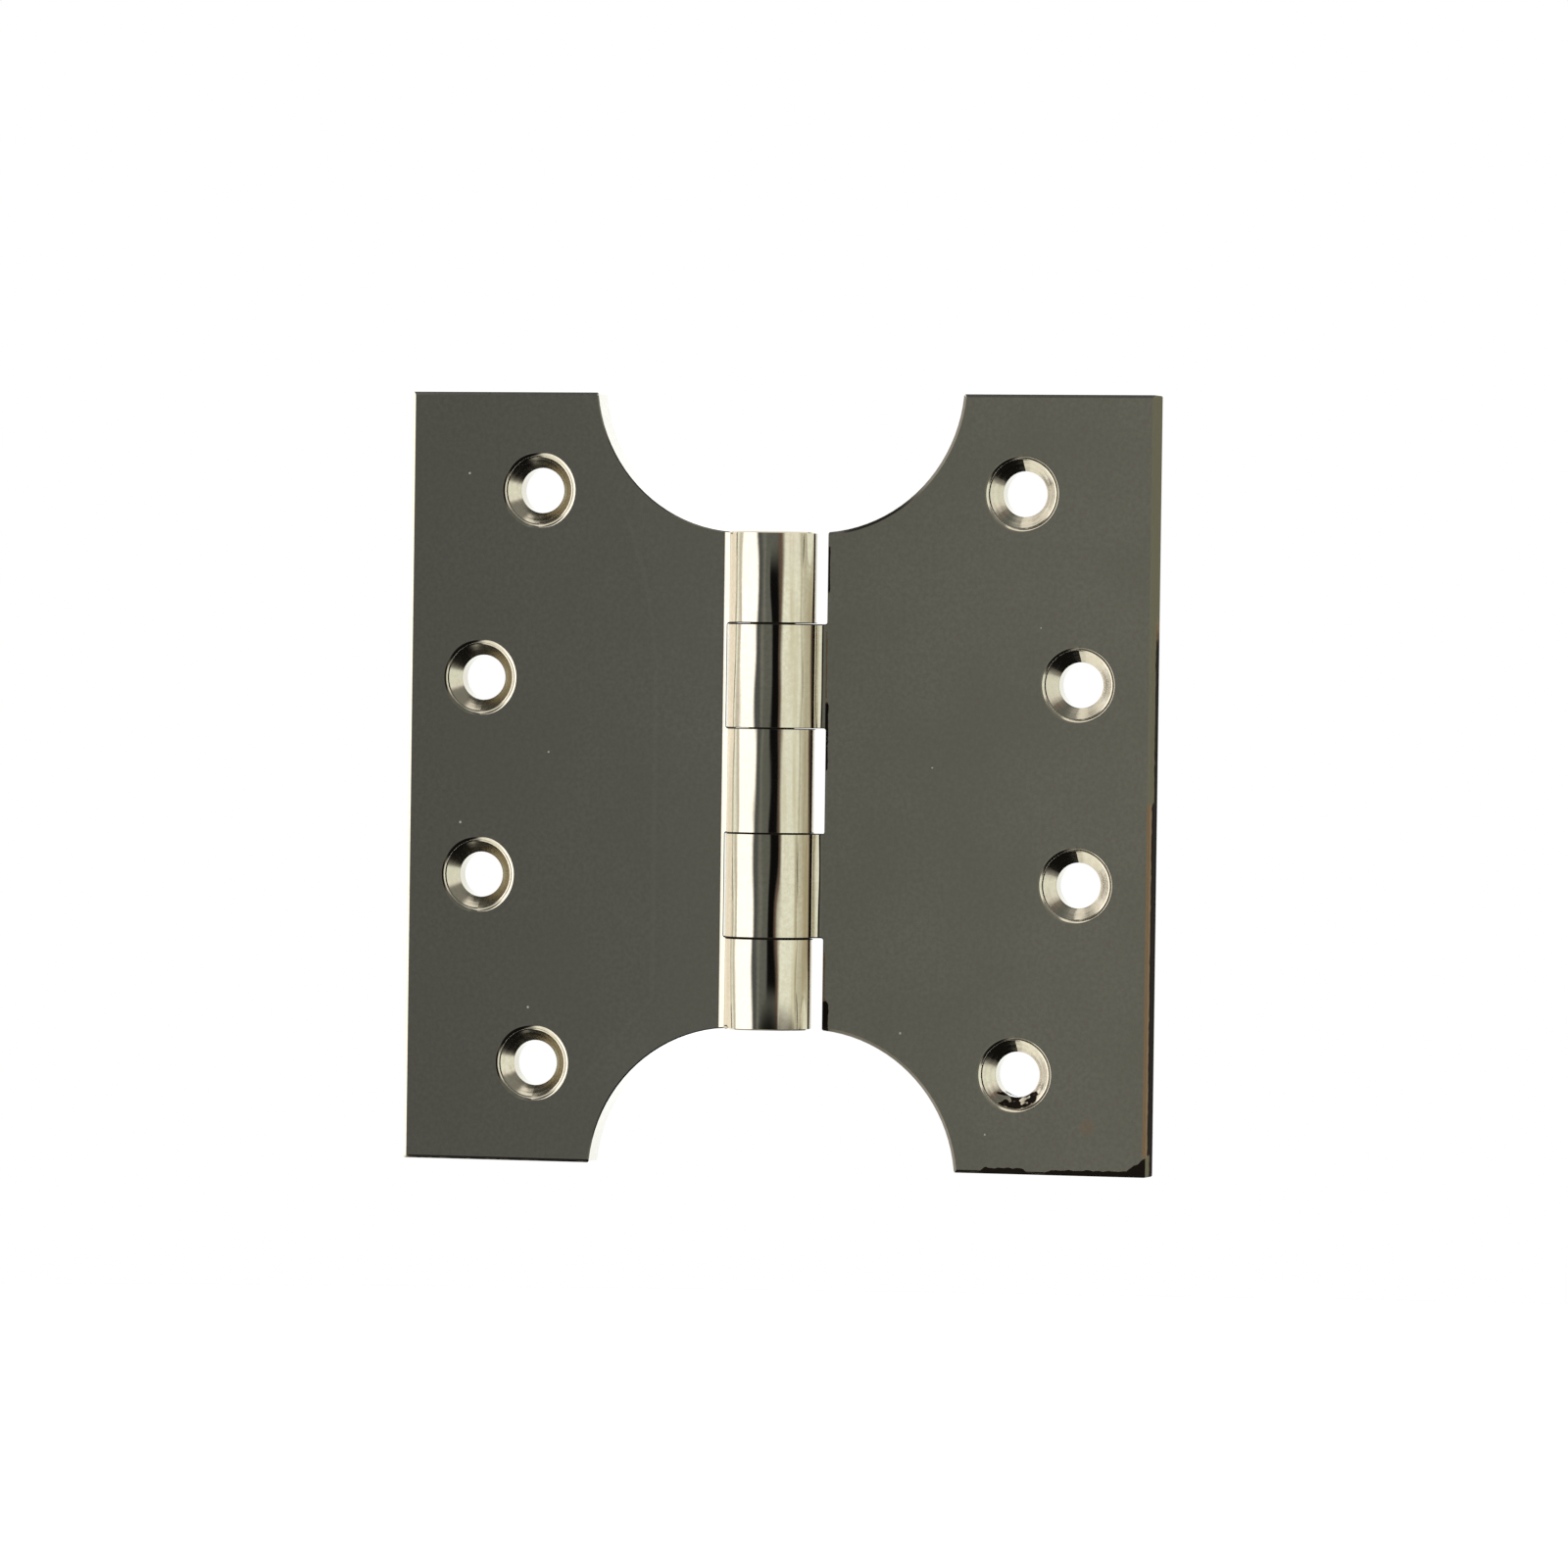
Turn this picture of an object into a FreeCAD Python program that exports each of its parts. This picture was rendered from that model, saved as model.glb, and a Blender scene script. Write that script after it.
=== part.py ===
import FreeCAD, Part
import math
import os

# Parliament hinge, opened flat, in millimetres.
# The pin axis is Z, and the knuckle and countersink side faces -Y.
# The frame leaf reaches to -X and carries three knuckles.
# The door leaf reaches to +X and carries two.

# Leaf plates
LEAF_HEIGHT = 102.0
LEAF_REACH = 51.0
LEAF_THICKNESS = 4.0

# Knuckles
KNUCKLE_DIAMETER = 11.6
KNUCKLE_ROW_LENGTH = 65.4
INNER_KNUCKLE_PITCH = 13.8
KNUCKLE_JOINT_GAP = 0.1
KNUCKLE_ROOT_RADIUS = 0.8

# Notches that let the other leaf's knuckles turn
NOTCH_CLEARANCE = 1.05
NOTCH_CORNER_RADIUS = 0.3

# Arched scallops above and below the knuckles
SCALLOP_RADIUS = 20.0
SCALLOP_CENTRE_REACH = 5.2

# Bevel that polishing leaves on every edge sharper than an angle.
# The buffing wheel draws the front outline's bevel further in, and the joints are only deburred.
POLISHED_EDGE_BREAK = 0.15
FRONT_BEVEL_REACH = 0.4
JOINT_EDGE_BREAK = 0.08
SHARP_EDGE_ANGLE = 50.0

# Screw holes
SCREW_HOLE_DIAMETER = 6.0
COUNTERSINK_DIAMETER = 9.4
COUNTERSINK_ANGLE = 90.0
COUNTERSINK_RIM_BREAK = 0.38
END_HOLE_TO_EDGE = 17.8
END_HOLE_SPACING = 76.0
MIDDLE_HOLE_TO_EDGE = 9.9
MIDDLE_HOLE_SPACING = 26.2

# Pin, tight in the frame leaf's knuckles and running in the door leaf's
PIN_DIAMETER = 6.0
PIN_END_CHAMFER = 0.4
PIN_END_RECESS = 0.2
PIN_RUNNING_CLEARANCE = 0.05
BORE_MOUTH_CHAMFER = 0.3

knuckle_radius = KNUCKLE_DIAMETER / 2
pin_radius = PIN_DIAMETER / 2
half_height = LEAF_HEIGHT / 2
half_row = KNUCKLE_ROW_LENGTH / 2
half_gap = KNUCKLE_JOINT_GAP / 2
back_y = knuckle_radius
front_y = knuckle_radius - LEAF_THICKNESS
notch_x = knuckle_radius + NOTCH_CLEARANCE
lowest_joint = -1.5 * INNER_KNUCKLE_PITCH
lower_joint = -0.5 * INNER_KNUCKLE_PITCH
upper_joint = 0.5 * INNER_KNUCKLE_PITCH
highest_joint = 1.5 * INNER_KNUCKLE_PITCH
row_overrun = half_row + knuckle_radius

# The other leaf's knuckles, as the spans of height that each leaf is notched over
door_notches = [
    (-row_overrun, lowest_joint + half_gap),
    (lower_joint - half_gap, upper_joint + half_gap),
    (highest_joint - half_gap, row_overrun),
]
frame_notches = [
    (lowest_joint - half_gap, lower_joint + half_gap),
    (upper_joint - half_gap, highest_joint + half_gap),
]


def vec(x, y, z):
    return FreeCAD.Vector(x, y, z)


def drawn_bar():
    """The drawn section: a round with the plate's back tangent to it and a filleted front root."""
    root_distance = knuckle_radius + KNUCKLE_ROOT_RADIUS
    root_y = front_y - KNUCKLE_ROOT_RADIUS
    root_x = math.sqrt(root_distance ** 2 - root_y ** 2)
    root_angle = math.atan2(root_y, root_x)
    fillet_angle = (root_angle + 1.5 * math.pi) / 2
    round_angle = (root_angle - 1.5 * math.pi) / 2
    z = -half_height
    on_plate = vec(root_x, front_y, z)
    on_fillet = vec(
        root_x + KNUCKLE_ROOT_RADIUS * math.cos(fillet_angle),
        root_y + KNUCKLE_ROOT_RADIUS * math.sin(fillet_angle),
        z,
    )
    fillet_end = vec(knuckle_radius * math.cos(root_angle), knuckle_radius * math.sin(root_angle), z)
    on_round = vec(knuckle_radius * math.cos(round_angle), knuckle_radius * math.sin(round_angle), z)
    back_root = vec(0, back_y, z)
    back_edge = vec(LEAF_REACH, back_y, z)
    front_edge = vec(LEAF_REACH, front_y, z)
    outline = Part.Wire([
        Part.makeLine(back_root, back_edge),
        Part.makeLine(back_edge, front_edge),
        Part.makeLine(front_edge, on_plate),
        Part.Arc(on_plate, on_fillet, fillet_end).toShape(),
        Part.Arc(fillet_end, on_round, back_root).toShape(),
    ])
    return Part.Face(outline).extrude(vec(0, 0, LEAF_HEIGHT))


def through_plate(edges):
    """A cutter with the given outline in the front view, passing through the whole depth."""
    return Part.Face(Part.Wire(edges)).extrude(vec(0, 4 * knuckle_radius, 0))


def notch_cutter(low, high):
    y = -2 * knuckle_radius
    left = -2 * knuckle_radius
    r = NOTCH_CORNER_RADIUS
    arc_in = r * (1 - math.sqrt(0.5))
    low_left = vec(left, y, low)
    low_turn = vec(notch_x - r, y, low)
    low_arc = vec(notch_x - arc_in, y, low + arc_in)
    low_floor = vec(notch_x, y, low + r)
    high_floor = vec(notch_x, y, high - r)
    high_arc = vec(notch_x - arc_in, y, high - arc_in)
    high_turn = vec(notch_x - r, y, high)
    high_left = vec(left, y, high)
    return through_plate([
        Part.makeLine(low_left, low_turn),
        Part.Arc(low_turn, low_arc, low_floor).toShape(),
        Part.makeLine(low_floor, high_floor),
        Part.Arc(high_floor, high_arc, high_turn).toShape(),
        Part.makeLine(high_turn, high_left),
        Part.makeLine(high_left, low_left),
    ])


def scallop_cutter():
    y = -2 * knuckle_radius
    left = -2 * knuckle_radius
    centre_z = half_row + SCALLOP_RADIUS
    top = max(centre_z, half_height) + knuckle_radius
    diagonal = SCALLOP_RADIUS * math.sqrt(0.5)
    row_left = vec(left, y, half_row)
    row_end = vec(SCALLOP_CENTRE_REACH, y, half_row)
    on_arc = vec(SCALLOP_CENTRE_REACH + diagonal, y, centre_z - diagonal)
    arc_end = vec(SCALLOP_CENTRE_REACH + SCALLOP_RADIUS, y, centre_z)
    top_right = vec(SCALLOP_CENTRE_REACH + SCALLOP_RADIUS, y, top)
    top_left = vec(left, y, top)
    return through_plate([
        Part.makeLine(row_left, row_end),
        Part.Arc(row_end, on_arc, arc_end).toShape(),
        Part.makeLine(arc_end, top_right),
        Part.makeLine(top_right, top_left),
        Part.makeLine(top_left, row_left),
    ])


def screw_cutter(x, z):
    """Through hole and countersink, with the countersink's rim broken wide by the buffing wheel."""
    along = vec(0, 1, 0)
    hole_radius = SCREW_HOLE_DIAMETER / 2
    sink_radius = COUNTERSINK_DIAMETER / 2
    half_angle = math.radians(COUNTERSINK_ANGLE / 2)
    sink_depth = (sink_radius - hole_radius) / math.tan(half_angle)
    rim_depth = COUNTERSINK_RIM_BREAK * math.cos(half_angle)
    rim_inner = sink_radius - COUNTERSINK_RIM_BREAK * math.sin(half_angle)
    rim_outer = sink_radius + COUNTERSINK_RIM_BREAK
    lead_radius = 2 * rim_outer - rim_inner
    hole = Part.makeCylinder(hole_radius, 2 * LEAF_THICKNESS, vec(x, front_y, z), along)
    sink = Part.makeCone(sink_radius, hole_radius, sink_depth, vec(x, front_y, z), along)
    rim = Part.makeCone(lead_radius, rim_inner, 2 * rim_depth, vec(x, front_y - rim_depth, z), along)
    return hole.fuse([sink, rim])


def edge_breaks(shape):
    """The edges that polishing breaks: each one's number, and its bevel's reach on its two faces."""
    breaks = []
    for number, edge in enumerate(shape.Edges, 1):
        middle = edge.valueAt((edge.FirstParameter + edge.LastParameter) / 2)
        normals = []
        for face in shape.ancestorsOfType(edge, Part.Face):
            u, v = face.Surface.parameter(middle)
            normals.append(face.normalAt(u, v))
        if len(normals) < 2:
            continue
        if math.degrees(normals[0].getAngle(normals[1])) < SHARP_EDGE_ANGLE:
            continue
        in_row = middle.x < notch_x + KNUCKLE_ROOT_RADIUS
        heights = [vertex.Z for vertex in edge.Vertexes]
        level = max(heights) - min(heights) < half_gap
        reaches = [POLISHED_EDGE_BREAK, POLISHED_EDGE_BREAK]
        if in_row and level and abs(middle.z) < highest_joint + KNUCKLE_JOINT_GAP:
            reaches = [JOINT_EDGE_BREAK, JOINT_EDGE_BREAK]
        for index, normal in enumerate(normals):
            if not in_row and normal.y < -math.cos(math.radians(SHARP_EDGE_ANGLE)):
                reaches[index] = FRONT_BEVEL_REACH
        breaks.append((number, reaches[0], reaches[1]))
    return breaks


def polished(shape):
    """The shape with all its edge breaks cut at once, so that they meet at the corners."""
    document = FreeCAD.newDocument()
    raw = document.addObject("Part::Feature", "raw")
    raw.Shape = shape
    bevelled = document.addObject("Part::Chamfer", "bevelled")
    bevelled.Base = raw
    bevelled.Edges = edge_breaks(shape)
    document.recompute()
    result = bevelled.Shape.copy()
    FreeCAD.closeDocument(document.Name)
    return result


def leaf(notches):
    """A leaf reaching to +X: bar, notches, scallops and screw holes, then polished all over."""
    shape = drawn_bar()
    for low, high in notches:
        shape = shape.cut(notch_cutter(low, high))
    scallop = scallop_cutter()
    shape = shape.cut(scallop)
    scallop.rotate(vec(0, 0, 0), vec(1, 0, 0), 180)
    shape = shape.cut(scallop)
    for sign in (1, -1):
        shape = shape.cut(screw_cutter(LEAF_REACH - END_HOLE_TO_EDGE, sign * END_HOLE_SPACING / 2))
        shape = shape.cut(screw_cutter(LEAF_REACH - MIDDLE_HOLE_TO_EDGE, sign * MIDDLE_HOLE_SPACING / 2))
    return polished(shape.removeSplitter())


def bore(radius):
    return Part.makeCylinder(radius, 2 * row_overrun, vec(0, 0, -row_overrun))


def door_leaf():
    shape = leaf(door_notches)
    return shape.cut(bore(pin_radius + PIN_RUNNING_CLEARANCE))


def frame_leaf():
    shape = leaf(frame_notches)
    shape = shape.cut(bore(pin_radius))
    mouth_radius = pin_radius + BORE_MOUTH_CHAMFER
    mouth_bottom = half_row - BORE_MOUTH_CHAMFER
    for sign in (1, -1):
        upward = vec(0, 0, sign)
        mouth = Part.makeCone(pin_radius, mouth_radius, BORE_MOUTH_CHAMFER, vec(0, 0, sign * mouth_bottom), upward)
        shape = shape.cut(mouth)
    shape.rotate(vec(0, 0, 0), vec(0, 1, 0), 180)
    return shape


def hinge_pin():
    length = KNUCKLE_ROW_LENGTH - 2 * PIN_END_RECESS
    pin = Part.makeCylinder(pin_radius, length, vec(0, 0, -length / 2))
    rims = [edge for edge in pin.Edges if isinstance(edge.Curve, Part.Circle)]
    return pin.makeChamfer(PIN_END_CHAMFER, rims)


pieces = {
    "frame_leaf": frame_leaf(),
    "door_leaf": door_leaf(),
    "hinge_pin": hinge_pin(),
}

os.makedirs("parts", exist_ok=True)
for name, shape in pieces.items():
    shape.exportStep(os.path.join("parts", name + ".step"))
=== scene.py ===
import math

import bmesh
import bpy
from bpy.props import FloatProperty, FloatVectorProperty, PointerProperty
from mathutils import Matrix, Vector

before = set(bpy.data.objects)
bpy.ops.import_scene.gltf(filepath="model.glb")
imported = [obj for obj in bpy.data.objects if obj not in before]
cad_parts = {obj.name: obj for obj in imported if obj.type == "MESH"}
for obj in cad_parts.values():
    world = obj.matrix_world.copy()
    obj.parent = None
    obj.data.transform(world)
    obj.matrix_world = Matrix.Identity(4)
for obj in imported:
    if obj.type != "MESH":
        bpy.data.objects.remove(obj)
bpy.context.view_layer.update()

bl_info = {
    "name": "Parliament Hinge Finish",
    "version": (1, 0, 0),
    "blender": (4, 5, 0),
    "location": "View3D > Sidebar > Hinge",
    "description": "Buffed nickel leaves, a ground steel pin and a studio for the parliament hinge",
    "category": "Object",
}

MM_PER_METRE = 1000.0
NUMBER = "NodeSocketFloat"
VECTOR = "NodeSocketVector"
COLOUR = "NodeSocketColor"
WHITE = (1.0, 1.0, 1.0, 1.0)

# The studio, as a ring of upright cards round the hinge. Each has the bearing that it starts at,
# in degrees from the camera's side (-Y) towards +X, how high and low it reaches in degrees, and
# its brightness.
STUDIO_CARDS = (
    (-180.0, 30.0, (1.42, 1.50, 1.55)),
    (-150.0, 30.0, (1.24, 1.20, 1.06)),
    (-118.0, 24.0, (1.26, 1.33, 1.16)),
    (-90.0, 24.0, (0.85, 0.82, 0.71)),
    (-76.0, 22.0, (2.00, 2.00, 1.90)),
    (-29.0, 58.0, (0.112, 0.121, 0.118)),
    (-15.2, 58.0, (0.246, 0.257, 0.228)),
    (-8.0, 58.0, (0.165, 0.176, 0.158)),
    (34.0, 40.0, (0.19, 0.13, 0.10)),
    (43.0, 15.0, (1.14, 1.20, 1.04)),
    (92.0, 20.0, (0.61, 0.58, 0.42)),
    (110.0, 30.0, (0.88, 0.84, 0.60)),
    (150.0, 30.0, (1.42, 1.50, 1.55)),
)
CARD_EDGE_SOFTNESS = 3.6
CARD_TOP_SOFTNESS = 0.14

# The dark gap between two cards: the bearings it lies between, how high and low it reaches, and
# its brightness
DARK_GAP = (12.0, 35.0, 12.0, (0.006, 0.006, 0.006))

# Above and below the cards, with patches of bearing, elevation, half angle and brightness. A
# patch fades between two shares of its half angle.
CEILING = (1.20, 1.17, 1.04)
CEILING_PATCHES = (
    (69.0, 52.0, 24.0, (0.30, 0.30, 0.26)),
    (-46.0, 36.0, 16.0, (0.14, 0.14, 0.12)),
)
UNDERSIDE = (0.45, 0.44, 0.38)
UNDERSIDE_PATCHES = (
    (-57.0, -37.0, 24.0, (1.30, 1.30, 1.14)),
    (-105.0, -31.0, 22.0, (1.25, 1.22, 1.05)),
    (-98.0, -62.0, 16.0, (0.26, 0.26, 0.19)),
    (98.0, -56.0, 36.0, (0.015, 0.014, 0.012)),
)
PATCH_FADE = (0.75, 1.25)

# A dark flag held low in front, as a patch over everything
LOW_FLAG = ((20.0, -50.0, 30.0, (0.008, 0.008, 0.007)),)

# In what follows, lengths are in mm: x out from the pin towards the door leaf, y from front to
# back, z up from the middle, radius from a screw hole's axis. Two numbers are where a soft border
# starts and ends, and three are a band's two ends and the softness of both.

# How squarely a face looks one way, from 0 to 1
FACES_FORWARD = (0.5, 0.8)
FACES_UP_OR_DOWN = (0.3, 0.6)

# Buffing and dust on the leaves
LEAF_BUFFING = {"Lines_per_mm": 2.2, "Cloud_Size": 16.0, "Spread": 0.035}
LEAF_SPECKS = {"Cell_Size": 4.6, "Share": 0.10, "Speck_Size": 0.13}
MOTTLE_AMOUNT = 0.85
WHEEL_LINE_DEPTH = 0.0006

# Dust grains big enough to see: x, z and size
FRAME_GRAINS = (
    (-42.9, 40.2, 0.30), (-31.4, 3.3, 0.26), (-43.6, -6.2, 0.32), (-33.8, -30.6, 0.34),
)
DOOR_GRAINS = ((17.6, -32.9, 0.32), (29.3, -45.9, 0.24), (36.0, 20.5, 0.20), (21.5, 2.0, 0.22))
GRAIN_AMOUNT = 0.75
GRAIN_ROUGHNESS = 0.7

# The line where the frame leaf's buffing changes direction: upright at one x, curving away above
# one height and sloping away below another. The strip inside it is a little pale too.
LINE_X = -16.6
LINE_CURVES_ABOVE = 12.0
LINE_CURVE = -0.0085
LINE_SLOPES_BELOW = -29.0
LINE_SLOPE = -0.85
LINE_HALF_WIDTH = (0.10, 0.55)
LINE_INSIDE = (-0.3, 3.0)
LINE_INSIDE_SHARE = 0.35
LINE_ENDS = (-41.0, 36.0, 3.0)
LINE_AMOUNT = 0.22

# Screw holes and their countersinks. A rim's roll has a sharpness and a fullness.
BORE_EDGE = (3.02, 3.10)
BORE_DULLING = 0.5
BORE_ROUGHNESS = 0.2
SINK_EDGE = (4.0, 4.9)
SINK_RADIUS = 4.70
SINK_RINGS_PER_MM = 2.6
SINK_RING_DEPTH = 0.009
SINK_ROUGHNESS_SPREAD = 0.16
SINK_ROUGHNESS_DROP = 0.06
OTHER_HOLE_RINGS = 31.0
RIM_RADIUS = 5.08
RIM_TILT = math.radians(22.5)
RIM_FACES = (0.84, 0.97, 0.02)
RIM_REACH = (1.5, 1.6)
FRAME_RIM_ROLL = (2.0, 0.5)
DOOR_RIM_ROLL = (1.3, 1.0)
DOOR_CONE_FACES = (0.60, 0.80, 0.02)
DOOR_CONE_MOUTH = (-0.2, -0.1)
DOOR_CONE_EASE = 0.30

# Knuckles: their side of the leaves, joints, brown streaks painted as reflection, painted shade at
# their roots, waves and dubbed ends
ROW_EDGE = (5.9, 6.6)
JOINT_REACH = (7.2, 7.6)
JOINT_HEIGHT = (24.0, 25.0)
JOINT_ROUGHNESS = 0.6
STREAK_STRETCH = (1.0, 1.0, 0.045)
STREAKS_PER_MM = 0.75
STREAK_LEVEL = (0.47, 0.70)
STREAK_FACES = (0.1, 0.6)
STREAK_AMOUNT = 0.7
# Painted shade at the knuckles' roots: how squarely they face -X, or +X and a little back, and how
# dark
LEFT_ROOT_SHADE_FACES = (0.88, 0.94)
RIGHT_ROOT_SHADE_FACES = (0.85, 0.93)
RIGHT_ROOT_SHADE_FACES_BACK = (0.02, 0.14)
ROOT_SHADE_AMOUNT = 0.6
WAVE_STRETCH = (1.0, 1.0, 0.22)
WAVES_PER_MM = 0.25
WAVE_DEPTH = 0.30
DOOR_WAVE_SHIFT = 41.0
DUBBED_FROM = 22.0
DUBBING = -0.0095
WAVED_FACES = (0.15, 0.45)
SWEEP_FROM = -7.5
SWEEP_END = (-6.5, -6.3)
SWEEP = 0.26

# Painted shade on the front edges: near black but for the tops and the frame leaf's free side
EDGE_FACES = (0.60, 0.97, 0.015)
EDGE_CLEAR_OF_ROW = (6.7, 6.8)
EDGE_CLEAR_OF_RIM = (5.15, 5.25)
EDGE_TOP = (50.2, 50.4)
EDGE_TOP_FACES = (0.1, 0.25)
EDGE_CLEAR_OF_FREE_SIDE = (-50.5, -50.3)
EDGE_SHADE_AMOUNT = 0.85

# The door leaf's unpolished free side, and the bevel along it
SIDE_FACES = (0.12, 0.3)
SIDE_FROM = (50.4, 50.6)
SIDE_FLAT_FACES = (0.5, 0.8)
SIDE_ROUGHNESS = 0.95

# Oxide, and the painted shadow along the door leaf's foot that is drawn like it. The borders wander
# by up to a quarter of a millimetre, some of them by a multiple of it.
OXIDE_PATCH = 1.3
OXIDE_ROUGHNESS = 0.42
MARK_DULLING = 0.6
WANDERS_PER_MM = 0.9
WANDER = 0.5

# Oxide along the frame leaf's foot
FRAME_FOOT = (-50.9, -50.6)
FRAME_FOOT_AMOUNT = 0.4

# Painted shadow along the door leaf's foot, drawn as oxide crust: how high it stands along its
# span, as shares of both
DOOR_FOOT = 51.0
FOOT_SPAN = (24.0, 51.0)
FOOT_LINE = (
    (0.0, 0.03), (0.16, 0.12), (0.21, 0.32), (0.38, 0.32), (0.42, 0.10), (0.48, 0.10),
    (0.54, 0.28), (0.90, 0.32), (0.955, 0.62), (1.0, 0.95),
)
FOOT_TALLEST = 2.7
FOOT_BORDER = (-0.25, 0.15)

# Oxide on the door leaf's free side
SIDE_WANDER_Y = 1.6
SIDE_WANDER_Z = 4.0
SIDE_FILM = (-48.4, -2.4, 0.4)
SIDE_CRUST_FROM = (2.3, 3.4)
SIDE_BACK_FROM = (3.5, 4.1)
SIDE_BACK_TOP = (16.0, 26.0)
SIDE_BACK_CRUST = 0.75

# Oxide along the door leaf's notch edge: how far it reaches, and where along the edge it lies
NOTCH_EDGE = (6.75, 6.80)
NOTCH_REACH = 7.20
NOTCH_WANDER = 0.5
NOTCH_BORDER = (-0.1, 0.1)
NOTCH_LOW = (-29.4, -28.4)
NOTCH_LOW_WIDENING = 0.55
NOTCH_SECOND = (10.5, 20.0, 0.8)
NOTCH_SECOND_NARROWING = -0.22
NOTCH_SECOND_AMOUNT = 0.65
NOTCH_FILM = ((24.8, 31.0, 0.8), (1.4, 10.6, 0.6), (-34.0, -22.5, 1.0))
NOTCH_UPPER = (0.0, 1.0)

# The blotch in the door leaf's lowest countersink, and the rust spot near it: x, z and size
BLOTCH_TOP = -40.2
BLOTCH_WANDER = 2.4
BLOTCH_BORDER = (-0.3, 0.3)
BLOTCH_LEFT = (29.0, 31.5)
BLOTCH_RIGHT = (36.0, 37.5)
BLOTCH_HEIGHT = (-46.0, -30.0, 0.5)
BLOTCHES_PER_MM = 0.8
BLOTCH_LEVEL = (0.36, 0.60)
RUST_SPOT = (43.1, -44.6, 2.2)
RUST_AMOUNT = 0.30

# The pin
PIN_BUFFING = {"Lines_per_mm": 4.0, "Cloud_Size": 2.2, "Spread": 0.12}
PIN_SPECKS = {"Cell_Size": 0.9, "Share": 0.25, "Speck_Size": 0.12}
PIN_ENDS = (31.6, 32.1)
PIN_END_OIL = (0.30, 0.05)
PIN_LINE_DEPTH = 0.004


class Bench:
    """A node tree, with short calls that add a node and give back its output socket."""

    def __init__(self, tree):
        self.tree = tree

    def put(self, kind, **settings):
        node = self.tree.nodes.new(kind)
        for key, value in settings.items():
            setattr(node, key, value)
        return node

    def feed(self, socket, value):
        if isinstance(value, bpy.types.NodeSocket):
            self.tree.links.new(value, socket)
        elif value is not None:
            socket.default_value = value

    def value(self, operation, *inputs):
        node = self.put("ShaderNodeMath", operation=operation)
        for socket, value in zip(node.inputs, inputs):
            self.feed(socket, value)
        return node.outputs[0]

    def product(self, *masks):
        result = masks[0]
        for mask in masks[1:]:
            result = self.value("MULTIPLY", result, mask)
        return result

    def most(self, *masks):
        result = masks[0]
        for mask in masks[1:]:
            result = self.value("MAXIMUM", result, mask)
        return result

    def inverse(self, mask):
        return self.value("SUBTRACT", 1.0, mask)

    def excess(self, value, limit):
        """How far a value is over a limit, or 0."""
        return self.value("MAXIMUM", self.value("SUBTRACT", value, limit), 0.0)

    def vector(self, operation, *inputs):
        node = self.put("ShaderNodeVectorMath", operation=operation)
        for socket, value in zip(node.inputs, inputs):
            self.feed(socket, value)
        scalar = operation in ("DOT_PRODUCT", "LENGTH", "DISTANCE")
        return node.outputs["Value" if scalar else "Vector"]

    def scaled(self, vector, factor):
        node = self.put("ShaderNodeVectorMath", operation="SCALE")
        self.feed(node.inputs[0], vector)
        self.feed(node.inputs["Scale"], factor)
        return node.outputs[0]

    def split(self, vector):
        node = self.put("ShaderNodeSeparateXYZ")
        self.feed(node.inputs[0], vector)
        return node.outputs[:3]

    def ramp_up(self, value, low, high, shape="SMOOTHSTEP"):
        """0 below low, 1 above high, with an eased climb between."""
        node = self.put("ShaderNodeMapRange", interpolation_type=shape, clamp=True)
        for name, part in (("Value", value), ("From Min", low), ("From Max", high)):
            self.feed(node.inputs[name], part)
        return node.outputs[0]

    def ramp_down(self, value, low, high):
        """1 below low, 0 above high, with an eased fall between."""
        return self.inverse(self.ramp_up(value, low, high))

    def band(self, value, low, high, soft):
        """1 between low and high, fading over soft at each end."""
        above = self.ramp_up(value, low - soft, low + soft)
        below = self.ramp_up(value, high - soft, high + soft)
        return self.value("SUBTRACT", above, below)

    def mix(self, factor, a, b):
        node = self.put("ShaderNodeMix", data_type="FLOAT", clamp_factor=True)
        for socket, value in zip((node.inputs[0], node.inputs[2], node.inputs[3]), (factor, a, b)):
            self.feed(socket, value)
        return node.outputs[0]

    def blend(self, factor, a, b):
        node = self.put("ShaderNodeMix", data_type="RGBA", clamp_factor=True)
        for socket, value in zip((node.inputs[0], node.inputs[6], node.inputs[7]), (factor, a, b)):
            if isinstance(value, tuple):
                value = opaque(value)
            self.feed(socket, value)
        return node.outputs[2]

    def noise(self, place, scale, detail=2.0, roughness=0.5):
        node = self.put("ShaderNodeTexNoise", noise_dimensions="3D")
        parts = (("Vector", place), ("Scale", scale), ("Detail", detail), ("Roughness", roughness))
        for name, part in parts:
            self.feed(node.inputs[name], part)
        return node.outputs[0]

    def noise_line(self, along, scale, detail=2.0):
        node = self.put("ShaderNodeTexNoise", noise_dimensions="1D")
        for name, part in (("W", along), ("Scale", scale), ("Detail", detail)):
            self.feed(node.inputs[name], part)
        return node.outputs[0]

    def ramp(self, value, stops, shape):
        """A colour that follows a list of stops, (position 0 to 1, colour)."""
        node = self.put("ShaderNodeValToRGB")
        ramp = node.color_ramp
        ramp.interpolation = shape
        first, *inner, last = stops
        for element, (position, colour) in zip(ramp.elements, (first, last)):
            element.position = position
            element.color = opaque(colour)
        for position, colour in inner:
            ramp.elements.new(position).color = opaque(colour)
        self.feed(node.inputs[0], value)
        return node.outputs[0]

    def profile(self, value, stops):
        """A number that follows a drawn line: stops are (position 0 to 1, height 0 to 1)."""
        return self.ramp(value, [(position, (height,) * 3) for position, height in stops], "EASE")

    def spot(self, place, x, z, size):
        """A round mark on either side of a leaf."""
        flat = self.vector("MULTIPLY", place, (1.0, 0.0, 1.0))
        apart = self.vector("DISTANCE", flat, (x, 0.0, z))
        return self.ramp_down(apart, size * 0.3, size * 0.6)

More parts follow.
